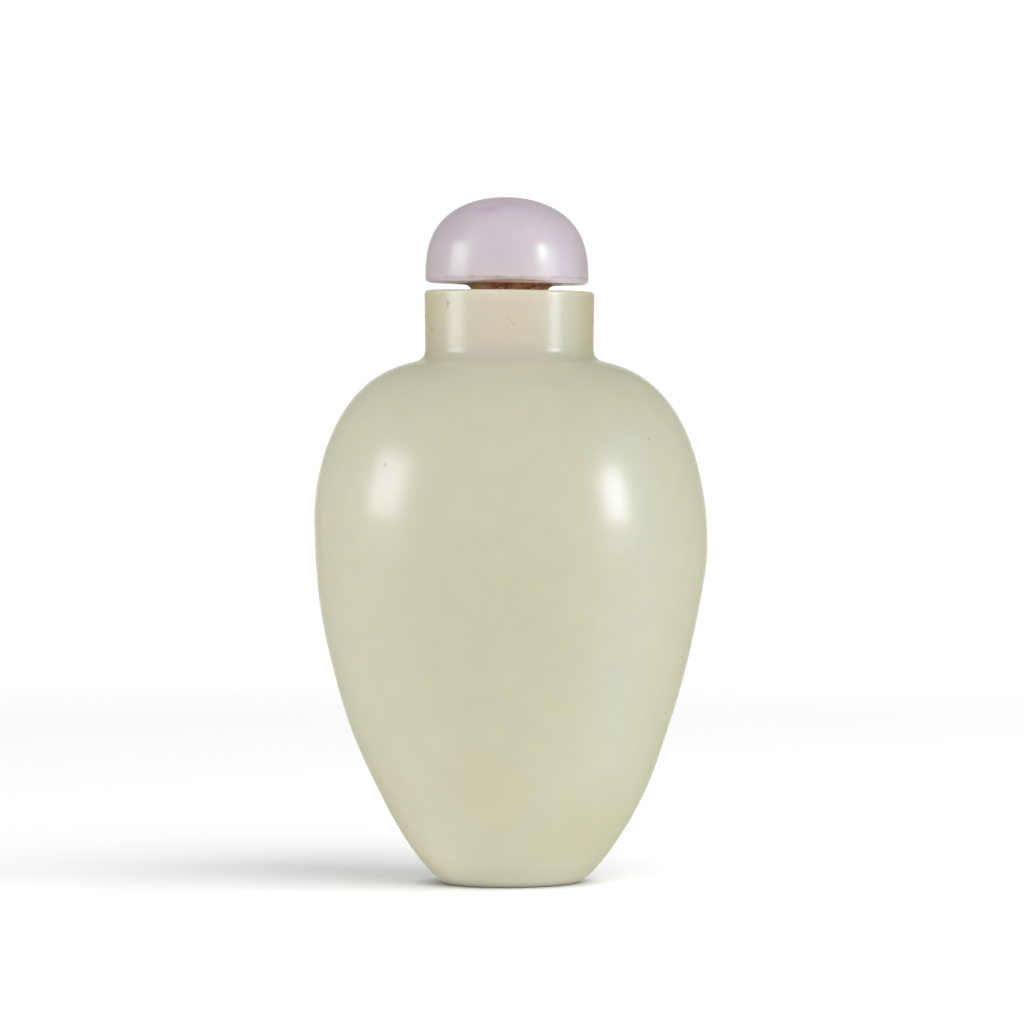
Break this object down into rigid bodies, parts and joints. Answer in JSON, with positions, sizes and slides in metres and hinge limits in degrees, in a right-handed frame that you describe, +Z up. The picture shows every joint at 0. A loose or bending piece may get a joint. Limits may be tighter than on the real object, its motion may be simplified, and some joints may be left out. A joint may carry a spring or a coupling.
{
  "type": "snuff bottle",
  "caption": "Hollow egg-shaped stone snuff bottle on a small flat foot, with a short straight neck and a narrow mouth closed by a lift-out domed stopper on a cork.",
  "frame": {"origin": "on the surface that the foot stands on, under the axis of the neck", "axes": "+Z up along the neck, from the foot to the stopper; the front, as it is usually seen, faces -Y; +X is to the right seen from the front"},
  "size_m": [0.0391, 0.039, 0.068],
  "materials": {
    "jade": "hand-polished pale celadon jade, waxy and slightly translucent",
    "lavender_stone": "polished lavender stone, slightly translucent, dirty and chipped at its edge",
    "shellac": "old red-brown shellac, glossy and uneven",
    "cork": "raw old cork"
  },
  "bodies": {
    "root": {"bottle": "jade", "stopper_cap": "lavender_stone", "stopper_shellac": "shellac", "stopper_cork": "cork"}
  },
  "joints": []
}
